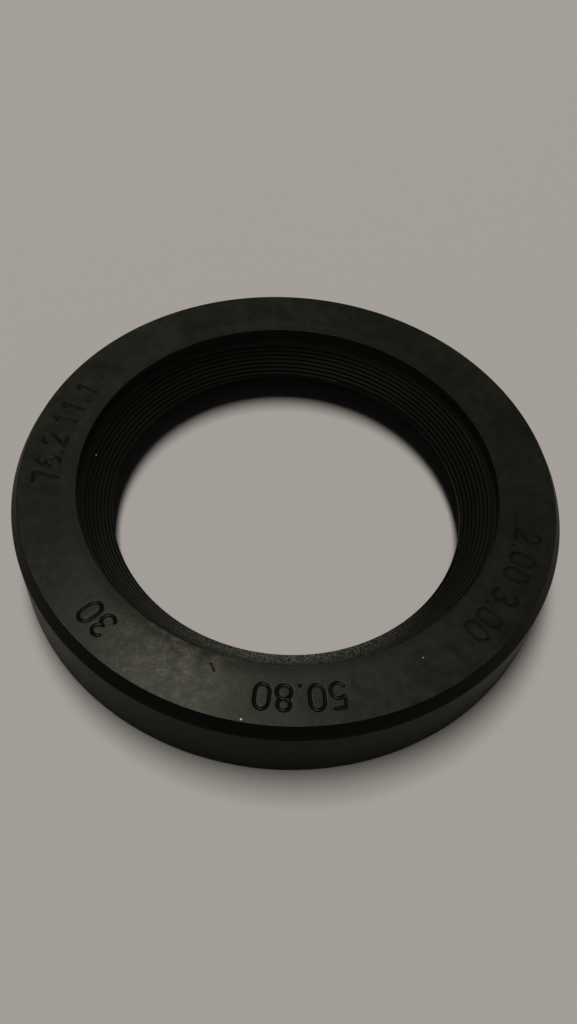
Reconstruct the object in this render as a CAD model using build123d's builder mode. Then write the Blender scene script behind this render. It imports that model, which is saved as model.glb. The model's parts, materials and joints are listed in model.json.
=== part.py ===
from build123d import *
from math import atan2, cos, degrees, radians, sin, tan
import os

# Radial shaft seal for a 2 in shaft in a 3 in housing bore, 7/16 in wide.
# Three pieces: a moulded rubber body, the pressed steel ring bonded into it, and the garter
# spring behind the lip. Millimetres. The axis is Z, the origin is on the axis in the plane of
# the oil-side end, and the moulded air-side face looks along +Z.

# ---- driving dimensions ----
inch = 25.4
shaft_radius = 2 * inch / 2
outer_radius = 3 * inch / 2
width = 7 / 16 * inch

lead_in_radial = 1.0         # chamfer round the outer edge of the face
lead_in_axial = 1.8
oil_end_edge_radius = 0.4    # the outer edge that enters the housing first

bore_wall_radius = 29.25     # the wall that drops from the face to the lip cone
bore_wall_depth = 2.19
bore_edge_radius = 0.1
wall_foot_fillet = 0.6       # where the wall meets the cone

lip_preload = 0.52           # how much smaller than the shaft the free lip is, on the radius
lip_height = 5.34            # lip edge above the oil-side end
lip_land = 0.2               # short cylindrical contact band
lip_flat = 0.12              # the trimmed edge is flat on top before the cone starts
oil_side_angle = 45          # of the cone on the oil side of the lip, from the axis
toe_height = 2.56            # the lip head's lowest face, above the oil-side end
membrane_thickness = 1.35
toe_edge_radius = 0.2
head_edge_radius = 0.3       # the back edge of the lip head, under the spring
head_root_radius = 0.4       # where the back of the head turns up into the membrane
membrane_root_fillet = 0.8   # where the membrane meets the underside of the flange

rib_starts = 4               # helical ribs on the air-side cone of the lip
rib_spacing = 0.626          # from one rib to the next, measured down the cone
rib_height = 0.15
rib_root_width = 0.57
rib_crest_width = 0.08
rib_root_sink = 0.08         # how far the rib's section reaches into the cone below it
rib_first_angle = 77.9       # where one of the ribs leaves the lip, counterclockwise from +X
rib_first_gap = 0.2          # from the lip edge to the middle of a rib's first section
rib_end_radius = 28.8        # the ribs stop here, short of the wall

spring_coil_radius = 1.0     # outside radius of the closely wound coil
spring_ring_radius = 28.3    # radius of the ring that the coil's centre line makes
spring_offset = 0.2          # the spring lies this far to the air side of the lip edge
head_back_gap = 0.6          # from the coil's centre line to the open side of its groove

insert_thickness = 1.2       # pressed sheet steel
insert_bend_radius = 0.6     # inside the bend
insert_hole_radius = 30.7    # inner edge of the flange
cover_thickness = 1.5        # rubber outside the sleeve of the insert
face_thickness = 1.2         # rubber over the flange of the insert
end_thickness = 0.9          # rubber under the end of the sleeve
bead_thickness = 0.4         # rubber that wraps onto the inside of the sleeve
bead_height = 1.5
outline_run = 2.0            # the outline follows the flange this far before it turns into the sheet

# ---- worked out from them ----
lip_radius = shaft_radius - lip_preload
cone_top = width - bore_wall_depth
cone_foot = lip_radius + lip_flat
cone_slope = atan2(cone_top - lip_height, bore_wall_radius - cone_foot)

oil_cone_drop = lip_height - lip_land - toe_height
toe_radius = lip_radius + oil_cone_drop * tan(radians(oil_side_angle))
head_back_radius = spring_ring_radius + head_back_gap
spring_height = lip_height + spring_offset

sleeve_outer = outer_radius - cover_thickness
sleeve_inner = sleeve_outer - insert_thickness
flange_top = width - face_thickness
flange_bottom = flange_top - insert_thickness
bead_radius = sleeve_inner - bead_thickness
flange_middle = flange_bottom + insert_thickness / 2
sleeve_middle = sleeve_inner + insert_thickness / 2


def cone_height(radius):
    """Height of the lip's air-side cone at a radius."""
    return lip_height + (radius - cone_foot) * tan(cone_slope)


def membrane_back(radius):
    """Height of the membrane's oil side at a radius: parallel to the air-side cone."""
    return cone_height(radius) - membrane_thickness / cos(cone_slope)


def membrane_root_radius():
    """Radius at which the membrane's oil side reaches the underside of the flange."""
    return head_back_radius + (flange_bottom - membrane_back(head_back_radius)) / tan(cone_slope)


def outline(corners):
    """Closed outline through (radius, height, corner rounding) points."""
    points = [(radius, height) for radius, height, rounding in corners]
    roundings = [rounding for radius, height, rounding in corners]
    return FilletPolyline(*points, radius=roundings, close=True)


# ---- section of the steel ring: a sleeve with a flange turned in at the air side ----
with BuildSketch(Plane.XZ) as insert_section:
    with BuildLine():
        outline([
            (sleeve_outer, end_thickness, 0),
            (sleeve_outer, flange_top, insert_bend_radius + insert_thickness),
            (insert_hole_radius, flange_top, 0),
            (insert_hole_radius, flange_bottom, 0),
            (sleeve_inner, flange_bottom, insert_bend_radius),
            (sleeve_inner, end_thickness, 0),
        ])
    make_face()

with BuildPart() as metal_insert:
    with BuildSketch(Plane.XZ):
        add(insert_section.sketch_local)
    revolve(axis=Axis.Z)

# ---- one helical rib of the lip cone, swept a turn at a time from the lip outwards ----
rib_lead = rib_starts * rib_spacing
rib_start_radius = lip_radius + rib_first_gap
turn_growth = rib_lead * cos(cone_slope)
cone_normal = Vector(-sin(cone_slope), 0, cos(cone_slope))

with BuildPart() as rib:
    start_radius = rib_start_radius
    while start_radius < rib_end_radius:
        growth = min(turn_growth, rib_end_radius - start_radius)
        with BuildLine() as rib_path:
            Helix(
                pitch=rib_lead,
                height=growth * tan(cone_slope),
                radius=start_radius,
                center=(0, 0, cone_height(start_radius)),
                cone_angle=90 - degrees(cone_slope),
            )
        path = rib_path.wire()
        with BuildSketch(Plane(origin=path @ 0, x_dir=cone_normal, z_dir=path % 0)):
            Polygon(
                (-rib_root_sink, -rib_root_width / 2),
                (rib_height, -rib_crest_width / 2),
                (rib_height, rib_crest_width / 2),
                (-rib_root_sink, rib_root_width / 2),
                align=None,
            )
        sweep(path=path, is_frenet=True)
        start_radius += turn_growth

# ---- moulded rubber body ----
with BuildPart() as seal_body:
    with BuildSketch(Plane.XZ):
        with BuildLine():
            outline([
                (outer_radius, 0, oil_end_edge_radius),
                (outer_radius, width - lead_in_axial, 0),
                (outer_radius - lead_in_radial, width, 0),
                (bore_wall_radius, width, bore_edge_radius),
                (bore_wall_radius, cone_top, wall_foot_fillet),
                (cone_foot, lip_height, 0),
                (lip_radius, lip_height, 0),
                (lip_radius, lip_height - lip_land, 0),
                (toe_radius, toe_height, toe_edge_radius),
                (head_back_radius, toe_height, head_edge_radius),
                (head_back_radius, membrane_back(head_back_radius), head_root_radius),
                (membrane_root_radius(), flange_bottom, membrane_root_fillet),
                (membrane_root_radius() + outline_run, flange_bottom, 0),
                (membrane_root_radius() + outline_run, flange_middle, 0),
                (sleeve_middle, flange_middle, 0),
                (sleeve_middle, end_thickness + bead_height, 0),
                (sleeve_inner, end_thickness + bead_height, 0),
                (bead_radius, end_thickness + bead_height - bead_thickness, 0),
                (bead_radius, bead_thickness, 0),
                (bead_radius + bead_thickness, 0, 0),
            ])
        make_face()
        with Locations((spring_ring_radius, spring_height)):
            Circle(spring_coil_radius, mode=Mode.SUBTRACT)
        add(insert_section.sketch_local, mode=Mode.SUBTRACT)
    revolve(axis=Axis.Z)
    with PolarLocations(0, rib_starts, start_angle=rib_first_angle):
        add(rib.part)

# ---- garter spring: the closed outer shape of the coil, seated in its groove ----
with BuildPart() as garter_spring:
    with BuildSketch(Plane.XZ):
        with Locations((spring_ring_radius, spring_height)):
            Circle(spring_coil_radius)
    revolve(axis=Axis.Z)

# ---- one STEP file for each piece ----
os.makedirs("parts", exist_ok=True)
seal_body.part.label = "seal_body"
export_step(seal_body.part, "parts/seal_body.step")
metal_insert.part.label = "metal_insert"
export_step(metal_insert.part, "parts/metal_insert.step")
garter_spring.part.label = "garter_spring"
export_step(garter_spring.part, "parts/garter_spring.step")
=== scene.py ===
import json
import math

import bpy
import numpy as np
from mathutils import Matrix, Quaternion, Vector
from mathutils.geometry import delaunay_2d_cdt


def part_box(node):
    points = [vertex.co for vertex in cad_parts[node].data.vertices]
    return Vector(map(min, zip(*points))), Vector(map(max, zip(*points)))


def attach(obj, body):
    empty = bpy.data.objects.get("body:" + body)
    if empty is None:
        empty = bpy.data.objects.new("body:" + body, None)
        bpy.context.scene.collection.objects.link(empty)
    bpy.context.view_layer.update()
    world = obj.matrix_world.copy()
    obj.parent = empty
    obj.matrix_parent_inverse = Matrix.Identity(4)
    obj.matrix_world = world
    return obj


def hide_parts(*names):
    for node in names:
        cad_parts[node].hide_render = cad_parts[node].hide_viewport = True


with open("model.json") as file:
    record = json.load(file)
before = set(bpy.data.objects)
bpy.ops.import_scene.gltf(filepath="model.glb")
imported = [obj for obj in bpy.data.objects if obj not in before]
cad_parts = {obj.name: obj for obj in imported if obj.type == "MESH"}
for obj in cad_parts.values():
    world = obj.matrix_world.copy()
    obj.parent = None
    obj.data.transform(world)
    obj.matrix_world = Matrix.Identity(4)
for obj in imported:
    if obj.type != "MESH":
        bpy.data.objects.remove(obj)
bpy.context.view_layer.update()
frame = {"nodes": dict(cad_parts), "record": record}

# Radial shaft seal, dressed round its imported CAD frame. Sizes are in millimetres, and become
# metres when a mesh is made. The axis is Z; the moulded air-side face looks along +Z.

MM = 0.001

# ---------------------------------------------------------------- sizes from the frame
_, SEAL_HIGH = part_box("seal_body")
INSERT_LOW, INSERT_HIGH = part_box("metal_insert")
SPRING_LOW, SPRING_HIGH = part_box("garter_spring")
LIP_MOUNT = next(m for m in frame["record"]["mounts"] if m["name"] == "shaft_lip")

OUTER_RADIUS = SEAL_HIGH.x / MM
WIDTH = SEAL_HIGH.z / MM
SLEEVE_OUTER = INSERT_HIGH.x / MM
SLEEVE_END = INSERT_LOW.z / MM
FLANGE_TOP = INSERT_HIGH.z / MM
COIL_RADIUS = (SPRING_HIGH.z - SPRING_LOW.z) / 2 / MM
SPRING_RADIUS = SPRING_HIGH.x / MM - COIL_RADIUS
SPRING_HEIGHT = (SPRING_HIGH.z + SPRING_LOW.z) / 2 / MM
LIP_RADIUS = LIP_MOUNT["dims"]["r_mm"]
LIP_LAND = LIP_MOUNT["dims"]["length_mm"]
LIP_HEIGHT = LIP_MOUNT["pos_m"][2] / MM + LIP_LAND / 2

# ---------------------------------------------------------------- sizes of the section
# They are those of the CAD source, with fine rounds added. A round is the radius of an edge.
LEAD_IN_RADIAL = 1.0
LEAD_IN_AXIAL = 1.8
FACE_EDGE_ROUND = 0.12
LEAD_IN_ROUND = 0.25
OIL_END_ROUND = 0.4
BORE_WALL_RADIUS = 29.25
BORE_WALL_DEPTH = 2.19
BORE_EDGE_ROUND = 0.1
WALL_FOOT_ROUND = 0.6
LIP_FLAT = 0.12            # the trimmed edge of the lip, flat on top
LIP_CUT = 0.005            # lean of the cut that the trimming leaves on the ribs
TOE_HEIGHT = 2.56
TOE_RADIUS = LIP_RADIUS + LIP_HEIGHT - LIP_LAND - TOE_HEIGHT    # at the foot of a 45 degree cone
TOE_ROUND = 0.2
HEAD_BACK_GAP = 0.6        # from the coil's centre line to the open side of its groove
HEAD_BACK_RADIUS = SPRING_RADIUS + HEAD_BACK_GAP
HEAD_ROUND = 0.3
HEAD_ROOT_ROUND = 0.4
MEMBRANE_THICKNESS = 1.35
MEMBRANE_ROOT_ROUND = 0.8
INSERT_THICKNESS = 1.2
INSERT_BEND = 1.8          # outside the bend
INSERT_HOLE_RADIUS = 30.7
BEAD_THICKNESS = 0.4
BEAD_HEIGHT = 1.5
BEAD_ROUND = 0.12

SLEEVE_INNER = SLEEVE_OUTER - INSERT_THICKNESS
FLANGE_BOTTOM = FLANGE_TOP - INSERT_THICKNESS
BEAD_RADIUS = SLEEVE_INNER - BEAD_THICKNESS
BEAD_TOP = SLEEVE_END + BEAD_HEIGHT
CONE_TOP = WIDTH - BORE_WALL_DEPTH
CONE_FOOT = LIP_RADIUS + LIP_FLAT
CONE_SLOPE = math.atan2(CONE_TOP - LIP_HEIGHT, BORE_WALL_RADIUS - CONE_FOOT)

# ---------------------------------------------------------------- ribs on the lip cone
RIB_STARTS = 4
RIB_SPACING = 0.626        # down the cone
RIB_HEIGHT = 0.15
RIB_FIRST_ANGLE = 77.9     # where one rib leaves the lip, degrees
RIB_FIRST_GAP = 0.2        # from the lip edge to the middle of a rib where it starts
RIB_FIRST_RADIUS = LIP_RADIUS + RIB_FIRST_GAP
RIB_END_RADIUS = 28.8      # of a rib's middle where it ends
RIB_FADE = 0.01            # over which it rises and sinks
CONE_END = 29.0            # the ribbed rows stop here, short of the wall's foot
ROW_MARGIN = 0.02          # they keep this far from the rings at both ends
RIB_RADIAL_SPACING = RIB_SPACING * math.cos(CONE_SLOPE)
# One rib's section: place along one spacing, and height as a share of the full height.
RIB_PLACES = (-0.355, -0.295, -0.08, 0.0, 0.08, 0.295, 0.355)
RIB_SHAPE = (0.0, 0.12, 0.9, 1.0, 0.9, 0.12, 0.0)

# ---------------------------------------------------------------- fineness of the meshes
COLUMNS = 360
RIB_COLUMNS = 720
ARC_STEP = math.radians(12)
GROOVE_STEPS = 20
CREASE_ANGLE = math.radians(18)


# ---------------------------------------------------------------- building meshes
def polar(radius, angle, height):
    return radius * math.cos(angle), radius * math.sin(angle), height


class Surface:
    """Points, in millimetres, and the faces between them."""

    def __init__(self):
        self.points = []
        self.faces = []

    def add(self, points):
        first = len(self.points)
        self.points.extend(points)
        return list(range(first, len(self.points)))

    def ring(self, radius, height, columns):
        """A circle of points. The height is one number, or a function of the angle."""
        angles = [2 * math.pi * i / columns for i in range(columns)]
        heights = [height(a) if callable(height) else height for a in angles]
        return self.add([polar(radius, a, z) for a, z in zip(angles, heights)])

    def bridge(self, first, second):
        """Faces between two rings, which may have different numbers of points."""
        n, m = len(first), len(second)
        i = j = 0
        while i < n or j < m:
            here, there = first[i % n], second[j % m]
            if n == m:
                self.faces.append((here, there, second[(j + 1) % m], first[(i + 1) % n]))
                i += 1
                j += 1
            elif (i + 1) * m <= (j + 1) * n:
                self.faces.append((here, there, first[(i + 1) % n]))
                i += 1
            else:
                self.faces.append((here, there, second[(j + 1) % m]))
                j += 1

    def loft(self, profile, start=None, columns=COLUMNS):
        """Rings through (radius, height) points, after a starting ring where one is given.
        Returns the first and the last ring."""
        rings = [start] if start else []
        rings += [self.ring(radius, height, columns) for radius, height in profile]
        for first, second in zip(rings, rings[1:]):
            self.bridge(first, second)
        return rings[0], rings[-1]

    def corner_normals(self):
        """A normal for each face corner: the faces round its point that lean less than the crease
        angle from its own face, weighted by their area."""
        points = np.array(self.points)
        sizes = np.array([len(face) for face in self.faces])
        corners = np.concatenate(self.faces)
        starts = np.cumsum(sizes) - sizes
        a, b, c, d = (points[corners[starts + np.minimum(k, sizes - 1)]] for k in range(4))
        crosses = np.cross(c - a, np.where(sizes[:, None] == 4, d - b, c - b))
        faces_of_corners = np.repeat(np.arange(len(sizes)), sizes)
        units = crosses / np.linalg.norm(crosses, axis=1, keepdims=True)
        # Corners at one point stand together in this order, so that shifts of it pair them all.
        order = np.argsort(corners, kind="stable")
        sums = np.zeros((len(corners), 3))
        most = np.bincount(corners).max()
        for shift in range(-most + 1, most):
            here = order[max(0, -shift):len(order) - max(0, shift)]
            near = order[max(0, shift):len(order) - max(0, -shift)]
            mine, other = faces_of_corners[here], faces_of_corners[near]
            joined = corners[here] == corners[near]
            joined &= np.einsum("ij,ij->i", units[mine], units[other]) > math.cos(CREASE_ANGLE)
            np.add.at(sums, here[joined], crosses[other[joined]])
        return sums / np.linalg.norm(sums, axis=1, keepdims=True)

    def make(self, name, material):
        mesh = bpy.data.meshes.new(name)
        mesh.from_pydata([tuple(c * MM for c in p) for p in self.points], [], self.faces)
        mesh.shade_smooth()
        mesh.normals_split_custom_set(self.corner_normals().tolist())
        mesh.materials.append(material)
        piece = bpy.data.objects.new(name, mesh)
        bpy.context.scene.collection.objects.link(piece)
        return piece


def rounded(corners):
    """Points of an open line through (radius, height, round) corners, with an arc at each inner
    corner whose round isn't 0."""
    line = [corners[0][:2]]
    for before, corner, after in zip(corners, corners[1:], corners[2:]):
        here = np.array(corner[:2])
        if not corner[2]:
            line.append(tuple(here))
            continue
        to_before = np.array(before[:2]) - here
        to_after = np.array(after[:2]) - here
        to_before /= np.linalg.norm(to_before)
        to_after /= np.linalg.norm(to_after)
        half = math.acos(np.clip(to_before @ to_after, -1, 1)) / 2
        middle = (to_before + to_after) / np.linalg.norm(to_before + to_after)
        centre = here + middle * corner[2] / math.sin(half)
        turn = math.pi - 2 * half
        first = here + to_before * corner[2] / math.tan(half) - centre
        side = math.copysign(1, to_before[1] * to_after[0] - to_before[0] * to_after[1])
        steps = max(2, round(turn / ARC_STEP))
        for k in range(steps + 1):
            a = side * turn * k / steps
            x = first[0] * math.cos(a) - first[1] * math.sin(a)
            y = first[0] * math.sin(a) + first[1] * math.cos(a)
            line.append((centre[0] + x, centre[1] + y))
    line.append(corners[-1][:2])
    return line


# ---------------------------------------------------------------- the ribbed cone
def cone_height(radius):
    return LIP_HEIGHT + (radius - CONE_FOOT) * math.tan(CONE_SLOPE)


def rib_turns(radius, angle):
    """Place across the ribs of a point on the cone, in spacings. A whole number is a crest."""
    wound = RIB_STARTS * (math.degrees(angle) - RIB_FIRST_ANGLE) / 360
    return (radius - RIB_FIRST_RADIUS) / RIB_RADIAL_SPACING - wound


def rib_column(angle):
    """The ribbed surface at one angle, as (row, radius, height) from inside the lip edge out."""
    low, high = rib_turns(CONE_FOOT, angle), rib_turns(CONE_END, angle)
    column = []
    for rib in range(math.floor(low), math.ceil(high) + 1):
        middle = CONE_FOOT + (rib - low) * RIB_RADIAL_SPACING
        started = np.clip((middle - RIB_FIRST_RADIUS) / RIB_FADE + 1, 0, 1)
        unended = np.clip((RIB_END_RADIUS - middle) / RIB_FADE + 1, 0, 1)
        for k, (place, share) in enumerate(zip(RIB_PLACES, RIB_SHAPE)):
            row = rib * len(RIB_PLACES) + k
            radius = middle + place * RIB_RADIAL_SPACING
            rise = RIB_HEIGHT * share * float(started * unended)
            height = cone_height(radius) + rise * math.cos(CONE_SLOPE)
            column.append((row, radius - rise * math.sin(CONE_SLOPE), height))
    return column


def cut_height(angle):
    """Height at which the trimmed lip edge cuts the ribbed surface."""
    _, radii, heights = zip(*rib_column(angle))
    return float(np.interp(CONE_FOOT, radii, heights))


def ribbed_cone(surface, inner, outer):
    """The cone between two rings, with rows of points that follow the ribs."""
    columns = []
    for j in range(RIB_COLUMNS):
        angle = 2 * math.pi * j / RIB_COLUMNS
        column = [(-math.inf, inner[j])]
        for row, radius, height in rib_column(angle):
            if CONE_FOOT + ROW_MARGIN < radius < CONE_END - ROW_MARGIN:
                column.append((row, surface.add([polar(radius, angle, height)])[0]))
        columns.append(column + [(math.inf, outer[j])])
    # One time round moves a rib outwards by as many spacings as there are ribs.
    shift = RIB_STARTS * len(RIB_PLACES)
    columns.append([(row - shift, point) for row, point in columns[0]])
    for left, right in zip(columns, columns[1:]):
        i = k = 0
        while i + 1 < len(left) or k + 1 < len(right):
            left_row = left[i + 1][0] if i + 1 < len(left) else math.inf
            right_row = right[k + 1][0] if k + 1 < len(right) else math.inf
            here, there = left[i][1], right[k][1]
            if left_row == right_row:
                surface.faces.append((here, left[i + 1][1], right[k + 1][1], there))
                i += 1
                k += 1
            elif left_row < right_row:
                surface.faces.append((here, left[i + 1][1], there))
                i += 1
            else:
                surface.faces.append((here, right[k + 1][1], there))
                k += 1


# ---------------------------------------------------------------- marks sunk in the air-side face
# Generic figures stand where the moulded marks are: the text, the angle of its middle in degrees,
# and the share of the full depth that it has.
MARKS = [
    ("76.2 11.1", 172.5, 0.75),
    ("30", 229.0, 1.0),
    ("50.80", 276.5, 1.0),
    ("2.00 3.00", 333.5, 0.65),
]
MARK_BASELINE = 31.87      # radius; the tops of the figures point outwards
FIGURE_HEIGHT = 3.26
FIGURE_WIDTH = 1.75
FIGURE_PITCH = 4.5         # degrees round the face, for a full figure
NARROW_CHARACTERS = ". "
NARROW_SHARE = 0.5         # of the pitch, which each of these takes
CURVE_STEP = 15            # degrees between the points of a curved stroke
# A groove's section: distance from the middle of the stroke, and height against the face there.
FIGURE_SECTION = [(0.0, -0.155), (0.11, -0.13), (0.24, -0.014), (0.31, 0.0)]
NICK_SECTION = [(0.0, -0.08), (0.08, -0.055), (0.19, -0.009), (0.27, 0.0)]
NICK = [(-7.22, -29.92), (-7.14, -30.12), (-6.76, -30.82)]
POINT_SPACING = 0.09       # between the points of a groove
CANDIDATES = 2             # points tried in each spacing
CLOSEST_SHARE = 0.7        # of the spacing, which the points that are kept leave between them
STROKE_MARGIN = 0.002      # a point may be this much nearer to another stroke than to its own
MERGE_DISTANCE = 1e-5      # points of the face nearer than this become one
WHOLE_HULL = 0             # delaunay_2d_cdt's output type for all the triangles inside the hull


def arc(x, y, x_radius, y_radius, start, stop):
    """Points of a stroke along part of an ellipse, in degrees counterclockwise."""
    steps = max(2, round(abs(stop - start) / CURVE_STEP))
    angles = [math.radians(start + (stop - start) * k / steps) for k in range(steps + 1)]
    return [(x + x_radius * math.cos(a), y + y_radius * math.sin(a)) for a in angles]


def figure(character):
    """The strokes of one figure, as lists of points in millimetres above its baseline."""
    w, h = FIGURE_WIDTH, FIGURE_HEIGHT
    mid = w / 2
    strokes = {
        " ": [],
        ".": [[(0.0, 0.0), (0.0, 0.06)]],
        "0": [arc(mid, h - 1.1, mid, 1.1, 0, 180) + arc(mid, 1.1, mid, 1.1, 180, 360)
              + [(w, h - 1.1)]],
        "1": [[(0.4, h - 0.75), (1.0, h), (1.0, 0.0)]],
        "2": [arc(mid, h - 0.9, mid, 0.9, 165, -35) + [(0.0, 0.0), (w, 0.0)]],
        "3": [arc(mid, h - 0.78, 0.78, 0.78, 150, -90), arc(mid, 0.86, mid, 0.86, 90, -150)],
        "5": [[(w - 0.15, h), (0.3, h), (0.16, 1.85)] + arc(mid, 1.0, mid, 1.0, 125, -150)],
        "6": [arc(1.45, 1.0, 1.45, h - 1.0, 95, 180) + arc(mid, 1.0, mid, 1.0, 180, 540)[1:]],
        "7": [[(0.0, h), (w, h), (0.6, 0.0)]],
        "8": [arc(mid, h - 0.76, 0.76, 0.76, -90, 270), arc(mid, 0.88, mid, 0.88, 90, 450)],
    }
    return strokes[character]


def mark_strokes():
    """Each figure's strokes, laid round the face, with the share of the full depth they have."""
    for text, middle_angle, depth in MARKS:
        shares = [NARROW_SHARE if character in NARROW_CHARACTERS else 1.0 for character in text]
        angle = middle_angle + sum(shares) * FIGURE_PITCH / 2
        for character, share in zip(text, shares):
            turn = math.radians(angle - share * FIGURE_PITCH / 2)
            angle -= share * FIGURE_PITCH
            out = np.array([math.cos(turn), math.sin(turn)])
            right = np.array([out[1], -out[0]])
            width = 0.0 if character in NARROW_CHARACTERS else FIGURE_WIDTH
            lines = [
                [MARK_BASELINE * out + (x - width / 2) * right + y * out for x, y in stroke]
                for stroke in figure(character)
            ]
            if lines:
                yield lines, depth


def distances(points, starts, stops):
    """Distance of each point from the nearest of some straight pieces of stroke."""
    ways = stops - starts
    offsets = points[:, None] - starts
    shares = (offsets * ways).sum(2) / (ways * ways).sum(1)
    nearest = np.clip(shares, 0, 1)[:, :, None] * ways
    return np.linalg.norm(offsets - nearest, axis=2).min(1)


def sink(surface, lines, section, depth=1.0):
    """Adds the points of one figure's groove to the surface, and returns them."""
    starts = np.array([a for line in lines for a in line[:-1]])
    stops = np.array([b for line in lines for b in line[1:]])
    closest = POINT_SPACING * CLOSEST_SHARE
    added = []
    for distance, height in section:
        found = []
        for start, stop in zip(starts, stops):
            way = stop - start
            length = float(np.linalg.norm(way))
            side = np.array([-way[1], way[0]]) / length * distance
            count = max(1, math.ceil(length / POINT_SPACING * CANDIDATES))
            for k in range(count + 1):
                found += [start + way * k / count + side, start + way * k / count - side]
            turns = math.ceil(2 * math.pi * distance / POINT_SPACING * CANDIDATES)
            for end in (start, stop):
                for k in range(turns):
                    a = 2 * math.pi * k / turns
                    found.append(end + distance * np.array([math.cos(a), math.sin(a)]))
        found = np.array(found)
        found = found[distances(found, starts, stops) > distance - STROKE_MARGIN]
        kept = np.empty((0, 2))
        for point in found:
            if not len(kept) or np.linalg.norm(kept - point, axis=1).min() > closest:
                kept = np.vstack([kept, point])
        added += surface.add([(x, y, WIDTH + height * depth) for x, y in kept.tolist()])
    return added


# ---------------------------------------------------------------- the rubber body
def seal_face(surface, outer, inner):
    """The air-side face between its outer and inner rings, with the marks in it."""
    used = outer + inner
    for lines, depth in mark_strokes():
        used += sink(surface, lines, FIGURE_SECTION, depth)
    used += sink(surface, [[np.array(point) for point in NICK]], NICK_SECTION)
    flat = [Vector(surface.points[i][:2]) for i in used]
    _, _, triangles, origins, _, _ = delaunay_2d_cdt(flat, [], [], WHOLE_HULL, MERGE_DISTANCE)
    hole = set(inner)
    for triangle in triangles:
        corners = [used[origins[i][0]] for i in triangle]
        if not hole.issuperset(corners):
            surface.faces.append(tuple(corners))


def membrane_back(radius):
    """Height of the membrane's oil side, which is parallel to the cone."""
    return cone_height(radius) - MEMBRANE_THICKNESS / math.cos(CONE_SLOPE)


def rubber_body(material):
    """The section's outline, turned round the axis from the outer edge of the face round to its
    inner edge, and the face between them. An end that the next line has too, or that only gives
    a line its direction, is left off."""
    rise_to_flange = FLANGE_BOTTOM - membrane_back(HEAD_BACK_RADIUS)
    root_radius = HEAD_BACK_RADIUS + rise_to_flange / math.tan(CONE_SLOPE)
    groove_half = math.acos((HEAD_BACK_RADIUS - SPRING_RADIUS) / COIL_RADIUS)
    groove_rise = COIL_RADIUS * math.sin(groove_half)

    outside = rounded([
        (BORE_WALL_RADIUS, WIDTH, 0),
        (OUTER_RADIUS - LEAD_IN_RADIAL, WIDTH, FACE_EDGE_ROUND),
        (OUTER_RADIUS, WIDTH - LEAD_IN_AXIAL, LEAD_IN_ROUND),
        (OUTER_RADIUS, 0, OIL_END_ROUND),
        (SLEEVE_INNER, 0, BEAD_ROUND),
        (BEAD_RADIUS, BEAD_THICKNESS, BEAD_ROUND),
        (BEAD_RADIUS, BEAD_TOP - BEAD_THICKNESS, BEAD_ROUND),
        (SLEEVE_INNER, BEAD_TOP, 0),
    ])[1:]
    round_the_insert = rounded([
        (SLEEVE_INNER, BEAD_TOP, 0),
        (SLEEVE_INNER, SLEEVE_END, 0),
        (SLEEVE_OUTER, SLEEVE_END, 0),
        (SLEEVE_OUTER, FLANGE_TOP, INSERT_BEND),
        (INSERT_HOLE_RADIUS, FLANGE_TOP, 0),
        (INSERT_HOLE_RADIUS, FLANGE_BOTTOM, 0),
    ])[1:]
    membrane = rounded([
        (root_radius + 2 * MEMBRANE_ROOT_ROUND, FLANGE_BOTTOM, 0),
        (root_radius, FLANGE_BOTTOM, MEMBRANE_ROOT_ROUND),
        (HEAD_BACK_RADIUS, membrane_back(HEAD_BACK_RADIUS), HEAD_ROOT_ROUND),
        (HEAD_BACK_RADIUS, SPRING_HEIGHT + groove_rise, 0),
    ])[1:-1]
    groove = []
    for k in range(GROOVE_STEPS + 1):
        a = groove_half + (2 * math.pi - 2 * groove_half) * k / GROOVE_STEPS
        radius = SPRING_RADIUS + COIL_RADIUS * math.cos(a)
        groove.append((radius, SPRING_HEIGHT + COIL_RADIUS * math.sin(a)))
    head = rounded([
        groove[-1] + (0,),
        (HEAD_BACK_RADIUS, TOE_HEIGHT, HEAD_ROUND),
        (TOE_RADIUS, TOE_HEIGHT, TOE_ROUND),
        (LIP_RADIUS, LIP_HEIGHT - LIP_LAND, 0),
    ])[1:]
    lip_edge = [
        (LIP_RADIUS, LIP_HEIGHT),
        (CONE_FOOT, LIP_HEIGHT),
        (CONE_FOOT + LIP_CUT, cut_height),
    ]
    bore_wall = rounded([
        (CONE_END, cone_height(CONE_END), 0),
        (BORE_WALL_RADIUS, CONE_TOP, WALL_FOOT_ROUND),
        (BORE_WALL_RADIUS, WIDTH, BORE_EDGE_ROUND),
        (OUTER_RADIUS, WIDTH, 0),
    ])[1:-1]

    surface = Surface()
    outer_ring, lip_ring = surface.loft(outside + round_the_insert + membrane + groove + head)
    _, cone_start = surface.loft(lip_edge, lip_ring, RIB_COLUMNS)
    cone_end = surface.ring(CONE_END, cone_height(CONE_END), RIB_COLUMNS)
    ribbed_cone(surface, cone_start, cone_end)
    _, inner_ring = surface.loft(bore_wall, cone_end, RIB_COLUMNS)
    seal_face(surface, outer_ring, inner_ring)
    return surface.make("rubber_body", material)


# ---------------------------------------------------------------- the garter spring
WIRE_RADIUS = 0.2
WIRE_SIDES = 7
POINTS_PER_COIL = 16


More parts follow.
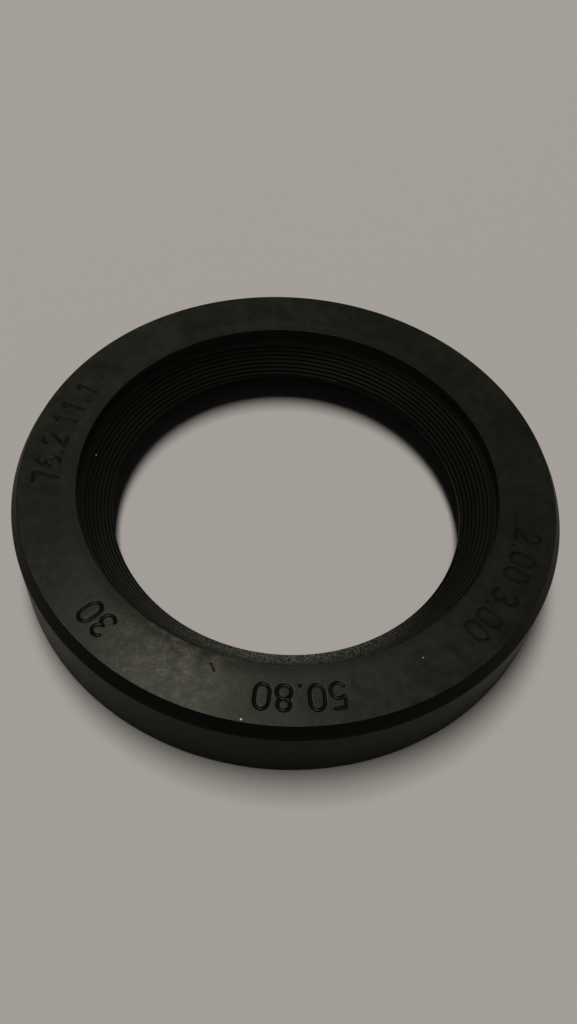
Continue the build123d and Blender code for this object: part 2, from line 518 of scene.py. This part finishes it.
def coil_spring(material):
    """A closed ring of closely wound wire, inside the torus that stands for it in the frame."""
    turn_radius = COIL_RADIUS - WIRE_RADIUS
    coils = int(2 * math.pi * SPRING_RADIUS / (2 * WIRE_RADIUS))
    count = coils * POINTS_PER_COIL
    ring_angle = np.arange(count) * 2 * math.pi / count
    coil_angle = ring_angle * coils

    def cylinder(radial, height):
        return np.stack([radial * np.cos(ring_angle), radial * np.sin(ring_angle), height], axis=1)

    line = cylinder(
        SPRING_RADIUS + turn_radius * np.cos(coil_angle),
        SPRING_HEIGHT + turn_radius * np.sin(coil_angle),
    )
    outward = cylinder(np.cos(coil_angle), np.sin(coil_angle))
    along = np.roll(line, -1, axis=0) - np.roll(line, 1, axis=0)
    along /= np.linalg.norm(along, axis=1, keepdims=True)
    across = np.cross(along, outward)
    across /= np.linalg.norm(across, axis=1, keepdims=True)
    section = [2 * math.pi * k / WIRE_SIDES for k in range(WIRE_SIDES)]
    offsets = [math.cos(a) * outward + math.sin(a) * across for a in section]
    points = np.stack([line + WIRE_RADIUS * offset for offset in offsets], axis=1)
    surface = Surface()
    rings = [surface.add([tuple(p) for p in ring]) for ring in points.tolist()]
    for first, second in zip(rings, rings[1:] + rings[:1]):
        surface.bridge(second, first)
    return surface.make("garter_spring_coil", material)


# ---------------------------------------------------------------- building materials
# Sockets of a Mix node that mixes colours.
MIX_FIRST, MIX_SECOND, MIX_RESULT = 6, 7, 2


class Look:
    """A material under construction. Inputs may be sockets, numbers or colours."""

    def __init__(self, name):
        self.material = bpy.data.materials.new(name)
        self.material.use_nodes = True
        self.tree = self.material.node_tree
        self.shader = self.tree.nodes["Principled BSDF"]

    def node(self, kind, inputs=(), **settings):
        node = self.tree.nodes.new(kind)
        for setting, value in settings.items():
            setattr(node, setting, value)
        for key, value in dict(inputs).items():
            self.set(node.inputs[key], value)
        return node

    def set(self, socket, value):
        if isinstance(value, bpy.types.NodeSocket):
            self.tree.links.new(value, socket)
        else:
            socket.default_value = value

    def shade(self, **inputs):
        for name, value in inputs.items():
            title = name.replace("_", " ").title().replace("Ior", "IOR")
            self.set(self.shader.inputs[title], value)

    def math(self, operation, first, *others):
        """The values, added or multiplied one after another."""
        for other in others:
            inputs = {0: first, 1: other}
            first = self.node("ShaderNodeMath", inputs, operation=operation).outputs[0]
        return first

    def vector(self, operation, first, second, result="Vector"):
        inputs = {0: first, 1: second}
        return self.node("ShaderNodeVectorMath", inputs, operation=operation).outputs[result]

    def place(self):
        """The point being shaded, in millimetres, in the piece's own frame."""
        here = self.node("ShaderNodeTexCoord").outputs["Object"]
        return self.vector("MULTIPLY", here, (1 / MM,) * 3)

    def distance(self, place, point):
        return self.vector("DISTANCE", place, point, "Value")

    def upward(self, vector):
        """The part of a vector along Z."""
        return self.node("ShaderNodeSeparateXYZ", {0: vector}).outputs["Z"]

    def noise(self, place, scale, detail, roughness=0.5):
        inputs = {"Vector": place, "Scale": scale, "Detail": detail, "Roughness": roughness}
        return self.node("ShaderNodeTexNoise", inputs).outputs["Fac"]

    def ramp(self, value, low, high, to_low=0.0, to_high=1.0):
        """A smooth step from one number to another, as the value goes from low to high."""
        inputs = {
            "Value": value,
            "From Min": low,
            "From Max": high,
            "To Min": to_low,
            "To Max": to_high,
        }
        node = self.node("ShaderNodeMapRange", inputs, interpolation_type="SMOOTHSTEP")
        return node.outputs["Result"]

    def mix(self, share, first, second):
        mix = self.node("ShaderNodeMix", {"Factor": share}, data_type="RGBA")
        self.set(mix.inputs[MIX_FIRST], first)
        self.set(mix.inputs[MIX_SECOND], second)
        return mix.outputs[MIX_RESULT]

    def bump(self, height, depth):
        """Roughens the surface by a height between 0 and 1, scaled to a depth in millimetres."""
        inputs = {"Height": height, "Distance": depth * MM, "Strength": 1.0}
        self.shade(normal=self.node("ShaderNodeBump", inputs).outputs["Normal"])


# ---------------------------------------------------------------- the rubber
# A noise is given by its scale per millimetre and its detail, and by its roughness if that isn't
# 0.5. A step is given by where it starts and where it ends, and by its values there if they aren't
# 0 and 1. Steps run over a noise, or over the shaded point's radius, its height, its distance from
# a place ("reach"), or the Z of its normal ("facing").
NOISE_RANGE = (0.3, 0.7)                       # noise seldom leaves it

RUBBER_COLOUR = (0.0016, 0.0017, 0.0012, 1)
RUBBER_TINT = (0.92, 1.0, 0.82, 1)             # of what it reflects
RUBBER_SPECULAR = 0.05
RUBBER_ROUGHNESS = (*NOISE_RANGE, 0.26, 0.31)
MOTTLE = (0.55, 5.0, 0.62)
BLOTCHES = (0.13, 2.0)
GRAIN = (5.0, 3.0, 0.6)
WAVES = (0.6, 4.0, 0.6)
WAVE_SHARE = 6.0                               # of the waves in the bumps, against the grain
BUMP_DEPTH = 0.004

FACE_FACING = (0.9, 0.99)
FACE_HEIGHT = (WIDTH - 0.15, WIDTH - 0.02)

# The wall above the cone is a shade lighter, most of all low down, where it is painted light that
# lifts the shade.
WALL_COLOUR = (0.009, 0.0096, 0.0064, 1)
WALL_INNER_RADIUS = (28.6, 28.9)
WALL_OUTER_RADIUS = (29.6, 29.4)
WALL_SHADE_LIFT_HEIGHT = (10.9, 9.7, 0.35, 1.0)
WALL_FACING = (0.75, 0.3, 0.25, 1.0)

# Thin film on the cone, strongest towards one side, where the ribs are matt too.
CONE_RADIUS = (29.0, 28.6)
CONE_FILM_COLOUR = (0.0031, 0.0033, 0.0024, 1)
DULL_SIDE = (-26.0, 20.0, 11.1)
CONE_FILM_REACH = (38.0, 14.0)
MATT_RIBS_REACH = (42.0, 16.0, 0.0, 0.5)
UPPER_RIBS_RADIUS = (26.4, 28.4, 0.0, 0.2)     # the ribs are more matt towards the wall

# Greenish film on the outer cover.
COVER_FILM_COLOUR = (0.0040, 0.0056, 0.0014, 1)
COVER_RADIUS = (37.9, 38.05)
COVER_MOTTLE = (*NOISE_RANGE, 0.5, 1.0)
SIDE_RADIUS = (36.9, 37.2)                     # the chamfer and the cover are more matt
SIDE_FACING = (0.99, 0.9, 0.0, 0.15)

# Dull bloom on the moulded face: mottled, blotchy, thicker towards one side, thinner at the bore,
# and thicker at the front right, where it is painted sheen.
BLOOM_AND_SHEEN_COLOUR = (0.0145, 0.0155, 0.0110, 1)
BLOOM_MOTTLE = (*NOISE_RANGE, 0.31, 0.54)
BLOOM_BLOTCHES = (*NOISE_RANGE, 0.75, 1.35)
BLOOM_SIDE_REACH = (42.0, 6.0, 1.0, 1.75)
# Here the bloom thickens into painted sheen.
PAINTED_SHEEN_PLACE = (15.0, -29.0, 11.1)
BLOOM_PAINTED_SHEEN_REACH = (24.0, 6.0, 1.0, 1.8)
BLOOM_INNER_RADIUS = (31.0, 29.4, 1.0, 0.6)
MATT_INNER_RADIUS = (31.6, 30.0, 0.0, 0.12)    # the face is more matt at the bore

# Pale smudge on the face, laid where the sheen falls: partly a smudge, partly painted sheen.
SMUDGE_AND_SHEEN_COLOUR = (0.092, 0.079, 0.058, 1)
SMUDGE_AND_SHEEN_PLACE = (-12.4, -30.8, 11.1)
SMUDGE_AND_SHEEN_REACH = (12.0, 2.0)
PATCHES = (0.55, 6.0, 0.72)
PATCHES_STEP = (0.36, 0.66, 0.0, 0.66)
SPOTS = (2.4, 3.0, 0.6)
SPOTS_STEP = (0.35, 0.65, 0.5, 1.3)

# Pale scuffs on the crests of the nearest ribs: partly wear, partly painted glints.
SCUFF_AND_GLINT_COLOUR = (0.066, 0.067, 0.056, 1)
SCUFF_AND_GLINT_PLACE = (4.0, -26.0, 6.0)
SCUFF_AND_GLINT_REACH = (21.0, 3.0)
SCUFF_AND_GLINT_RADIUS = (28.6, 25.3)
SCUFF_GLINT_NOISE = (3.5, 4.0, 0.7)
SCUFF_GLINT_STEP = (0.42, 0.62)

# Specks of lint: where, and the radius of each.
LINT_COLOUR = (0.5, 0.49, 0.45, 1)
LINT = [
    ((-2.93, -36.63, 11.1), 0.16),
    ((18.34, -26.47, 11.1), 0.09),
    ((-28.01, 2.84, 8.0), 0.09),
    ((-25.33, 6.18, 6.25), 0.06),
]


def rubber():
    """Black nitrile rubber with film, bloom and marks of use on it, some partly painted sheen and
    light.
    """
    look = Look("nitrile_rubber")
    place = look.place()
    facing = look.upward(look.node("ShaderNodeTexCoord").outputs["Normal"])
    height = look.upward(place)
    radius = look.distance(look.vector("MULTIPLY", place, (1, 1, 0)), (0, 0, 0))
    dull_side = look.distance(place, DULL_SIDE)
    mottle = look.noise(place, *MOTTLE)

    face = look.math("MULTIPLY", look.ramp(facing, *FACE_FACING), look.ramp(height, *FACE_HEIGHT))
    cone = look.ramp(radius, *CONE_RADIUS)
    # Lighter low down on the wall: painted light that lifts the shade there.
    wall = look.math(
        "MULTIPLY",
        look.ramp(radius, *WALL_INNER_RADIUS),
        look.ramp(radius, *WALL_OUTER_RADIUS),
        look.ramp(height, *WALL_SHADE_LIFT_HEIGHT),
        look.ramp(facing, *WALL_FACING),
    )
    cone_film = look.math("MULTIPLY", cone, look.ramp(dull_side, *CONE_FILM_REACH))
    cover_film = look.math(
        "MULTIPLY",
        look.ramp(radius, *COVER_RADIUS),
        look.ramp(mottle, *COVER_MOTTLE),
    )
    # Bloom, thicker at the front right, where it is painted sheen.
    bloom_and_sheen = look.math(
        "MULTIPLY",
        look.ramp(mottle, *BLOOM_MOTTLE),
        look.ramp(look.noise(place, *BLOTCHES), *BLOOM_BLOTCHES),
        look.ramp(dull_side, *BLOOM_SIDE_REACH),
        look.ramp(look.distance(place, PAINTED_SHEEN_PLACE), *BLOOM_PAINTED_SHEEN_REACH),
        look.ramp(radius, *BLOOM_INNER_RADIUS),
    )
    patches = look.math(
        "MULTIPLY",
        look.ramp(look.noise(place, *PATCHES), *PATCHES_STEP),
        look.ramp(look.noise(place, *SPOTS), *SPOTS_STEP),
    )
    # Smudge where the sheen falls, partly painted sheen.
    near_smudge_and_sheen = look.ramp(look.distance(place, SMUDGE_AND_SHEEN_PLACE), *SMUDGE_AND_SHEEN_REACH)
    # Scuffs on the nearest crests, partly painted glints.
    scuffs_and_glints = look.math(
        "MULTIPLY",
        look.ramp(look.distance(place, SCUFF_AND_GLINT_PLACE), *SCUFF_AND_GLINT_REACH),
        look.ramp(radius, *SCUFF_AND_GLINT_RADIUS),
        look.ramp(look.noise(place, *SCUFF_GLINT_NOISE), *SCUFF_GLINT_STEP),
    )

    colour = RUBBER_COLOUR
    for share, layer in (
        (wall, WALL_COLOUR),
        (cone_film, CONE_FILM_COLOUR),
        (cover_film, COVER_FILM_COLOUR),
        (look.math("MULTIPLY", face, bloom_and_sheen), BLOOM_AND_SHEEN_COLOUR),
        (look.math("MULTIPLY", face, near_smudge_and_sheen, patches), SMUDGE_AND_SHEEN_COLOUR),
        (scuffs_and_glints, SCUFF_AND_GLINT_COLOUR),
    ):
        colour = look.mix(share, colour, layer)
    for lint_place, size in LINT:
        speck = look.ramp(look.distance(place, lint_place), size, size / 2)
        colour = look.mix(speck, colour, LINT_COLOUR)

    roughness = look.math(
        "ADD",
        look.ramp(mottle, *RUBBER_ROUGHNESS),
        look.math("MULTIPLY", face, look.ramp(radius, *MATT_INNER_RADIUS)),
        look.math("MULTIPLY", look.ramp(radius, *SIDE_RADIUS), look.ramp(facing, *SIDE_FACING)),
        look.math("MULTIPLY", cone, look.ramp(dull_side, *MATT_RIBS_REACH)),
        look.math("MULTIPLY", cone, look.ramp(radius, *UPPER_RIBS_RADIUS)),
    )
    look.shade(
        base_color=colour,
        roughness=roughness,
        specular_ior_level=RUBBER_SPECULAR,
        specular_tint=RUBBER_TINT,
    )
    waves = look.math("MULTIPLY", look.noise(place, *WAVES), WAVE_SHARE)
    look.bump(look.math("ADD", waves, look.noise(place, *GRAIN)), BUMP_DEPTH)
    return look.material


# ---------------------------------------------------------------- the two steels
INSERT_COLOURS = (0.17, 0.17, 0.16, 1), (0.25, 0.25, 0.24, 1)
INSERT_METALLIC = 0.85
INSERT_GRAIN = (3.5, 5.0, 0.6)
INSERT_WEAR = (1.2, 3.0)
INSERT_ROUGHNESS = (*NOISE_RANGE, 0.45, 0.6)
INSERT_BUMP_DEPTH = 0.006

SPRING_COLOURS = (0.42, 0.41, 0.39, 1), (0.55, 0.54, 0.52, 1)
SPRING_TONES = (1.5, 3.0)
SPRING_WEAR = (6.0, 3.0)
SPRING_ROUGHNESS = (*NOISE_RANGE, 0.22, 0.34)


def insert_steel():
    """Pressed sheet with a dull phosphate coat."""
    look = Look("insert_steel")
    place = look.place()
    grain = look.noise(place, *INSERT_GRAIN)
    look.shade(
        base_color=look.mix(look.ramp(grain, *NOISE_RANGE), *INSERT_COLOURS),
        roughness=look.ramp(look.noise(place, *INSERT_WEAR), *INSERT_ROUGHNESS),
        metallic=INSERT_METALLIC,
    )
    look.bump(grain, INSERT_BUMP_DEPTH)
    return look.material


def spring_steel():
    """Drawn wire, bright under a thin film of oil."""
    look = Look("spring_steel")
    place = look.place()
    tones = look.ramp(look.noise(place, *SPRING_TONES), *NOISE_RANGE)
    look.shade(
        base_color=look.mix(tones, *SPRING_COLOURS),
        roughness=look.ramp(look.noise(place, *SPRING_WEAR), *SPRING_ROUGHNESS),
        metallic=1.0,
    )
    return look.material


# ---------------------------------------------------------------- floor and room
FLOOR_SIZE = 4.0           # metres
FLOOR_COLOUR = (0.415, 0.394, 0.377, 1)
FLOOR_ROUGHNESS = 0.8
FLOOR_SPECULAR = 0.2
BACKDROP_COLOUR = (0.36, 0.34, 0.315, 1)
ROOM_COLOUR = (0.02, 0.02, 0.02, 1)


def make_floor():
    mesh = bpy.data.meshes.new("floor")
    half = FLOOR_SIZE / 2
    corners = [(-half, -half, 0), (half, -half, 0), (half, half, 0), (-half, half, 0)]
    mesh.from_pydata(corners, [], [(0, 1, 2, 3)])
    floor = bpy.data.objects.new("floor", mesh)
    bpy.context.scene.collection.objects.link(floor)
    look = Look("floor")
    look.shade(
        base_color=FLOOR_COLOUR,
        roughness=FLOOR_ROUGHNESS,
        specular_ior_level=FLOOR_SPECULAR,
    )
    mesh.materials.append(look.material)


def make_world():
    """Dim room light, which the camera and reflections see as a backdrop of the floor's tone."""
    world = bpy.data.worlds.new("room")
    world.use_nodes = True
    nodes, links = world.node_tree.nodes, world.node_tree.links
    rays = nodes.new("ShaderNodeLightPath")
    seen = rays.outputs["Is Camera Ray"]
    for name in ("Is Glossy Ray", "Is Transmission Ray"):
        either = nodes.new("ShaderNodeMath")
        either.operation = "MAXIMUM"
        links.new(seen, either.inputs[0])
        links.new(rays.outputs[name], either.inputs[1])
        seen = either.outputs[0]
    tones = nodes.new("ShaderNodeMix")
    tones.data_type = "RGBA"
    links.new(seen, tones.inputs["Factor"])
    tones.inputs[MIX_FIRST].default_value = ROOM_COLOUR
    tones.inputs[MIX_SECOND].default_value = BACKDROP_COLOUR
    background = nodes["Background"]
    links.new(tones.outputs[MIX_RESULT], background.inputs["Color"])
    background.inputs["Strength"].default_value = 1.0
    bpy.context.scene.world = world


# ---------------------------------------------------------------- lamp
# It is long and narrow, so that some shadow edges are crisp and others soft, as in the photograph,
# and far off, so that the whole floor is lit alike.
LAMP_AZIMUTH = 115.0       # degrees counterclockwise from +X
LAMP_TILT = 11.5           # from straight above, degrees
LAMP_DISTANCE = 20.0       # of its middle from the seal, metres
LAMP_WIDTH = 10.0          # how wide and how long it looks from the seal, degrees
LAMP_LENGTH = 36.0
LAMP_TURN = 99.0           # the way its length points, degrees counterclockwise from +X
LAMP_STRENGTH = 2.9        # light that falls on the seal, watts per square metre
LAMP_COLOUR = (1.0, 0.985, 0.93)


def make_lamp():
    tilt, turn = math.radians(LAMP_TILT), math.radians(LAMP_AZIMUTH)
    way = Vector(polar(math.sin(tilt), turn, math.cos(tilt)))
    data = bpy.data.lights.new("ceiling_lamp", "AREA")
    data.shape = "RECTANGLE"
    data.size = 2 * LAMP_DISTANCE * math.tan(math.radians(LAMP_WIDTH / 2))
    data.size_y = 2 * LAMP_DISTANCE * math.tan(math.radians(LAMP_LENGTH / 2))
    data.energy = LAMP_STRENGTH * math.pi * LAMP_DISTANCE ** 2
    data.color = LAMP_COLOUR
    lamp = bpy.data.objects.new("ceiling_lamp", data)
    lamp.location = way * LAMP_DISTANCE
    lamp.rotation_mode = "QUATERNION"
    about_its_axis = Quaternion((0, 0, 1), math.radians(LAMP_TURN) - turn)
    lamp.rotation_quaternion = way.to_track_quat("Z", "Y") @ about_its_axis
    bpy.context.scene.collection.objects.link(lamp)


# ---------------------------------------------------------------- camera
# Its place and tilt follow from the outline of the seal's rims in the photograph.
PHOTO_LONG_SIDE = 1024     # pixels
FOCAL_PIXELS = 917.61
SENSOR = 36.0
CLIP_START = 0.001         # metres
CAMERA_PLACE = (0.306, -79.918, 110.907)
CAMERA_DIP = 53.616        # below the horizon, degrees
CAMERA_ROLL = 5.347


def make_camera():
    dip, roll = math.radians(CAMERA_DIP), math.radians(CAMERA_ROLL)
    forward = Vector((0, math.cos(dip), -math.sin(dip)))
    side = Vector((1, 0, 0))
    above = side.cross(forward)
    right = math.cos(roll) * side + math.sin(roll) * above
    up = -math.sin(roll) * side + math.cos(roll) * above
    data = bpy.data.cameras.new("camera")
    data.sensor_width = SENSOR
    data.lens = FOCAL_PIXELS / PHOTO_LONG_SIDE * SENSOR
    data.clip_start = CLIP_START
    camera = bpy.data.objects.new("camera", data)
    turn = Matrix((right, up, -forward)).transposed().to_4x4()
    camera.matrix_world = Matrix.Translation(Vector(CAMERA_PLACE) * MM) @ turn
    bpy.context.scene.collection.objects.link(camera)
    bpy.context.scene.camera = camera


# ---------------------------------------------------------------- the scene
bpy.context.scene.view_settings.view_transform = "Standard"
make_camera()
make_floor()
make_world()
make_lamp()

body = rubber_body(rubber())
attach(body, "root")
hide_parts("seal_body")

spring = coil_spring(spring_steel())
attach(spring, "root")
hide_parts("garter_spring")

insert = frame["nodes"]["metal_insert"]
insert.data.materials.clear()
insert.data.materials.append(insert_steel())
